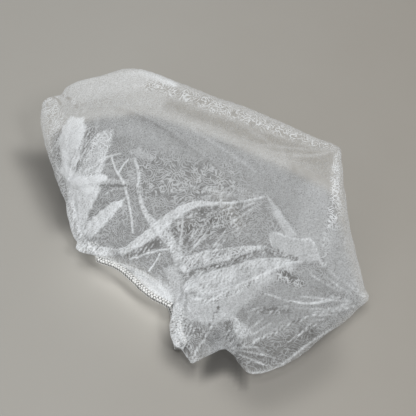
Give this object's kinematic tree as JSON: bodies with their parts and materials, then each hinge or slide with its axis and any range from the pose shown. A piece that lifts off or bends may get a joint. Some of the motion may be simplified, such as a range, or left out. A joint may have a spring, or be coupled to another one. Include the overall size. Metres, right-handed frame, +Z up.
{
  "type": "bouffant cap",
  "caption": "Disposable nonwoven bouffant cap lying on its side, a puffed pouch open at a gathered elastic hem.",
  "frame": {"origin": "middle of the footprint, on the surface that the cap lies on", "axes": "+Z up; +Y from the gathered mouth's side towards the closed far end; +X to the right of the mouth"},
  "size_m": [0.2981, 0.3127, 0.0948],
  "materials": {
    "nonwoven": "thin white spunbond, see-through",
    "elastic": "white overlock stitching over elastic"
  },
  "bodies": {
    "root": {"crown": "nonwoven", "elastic_band": "elastic"}
  },
  "joints": []
}
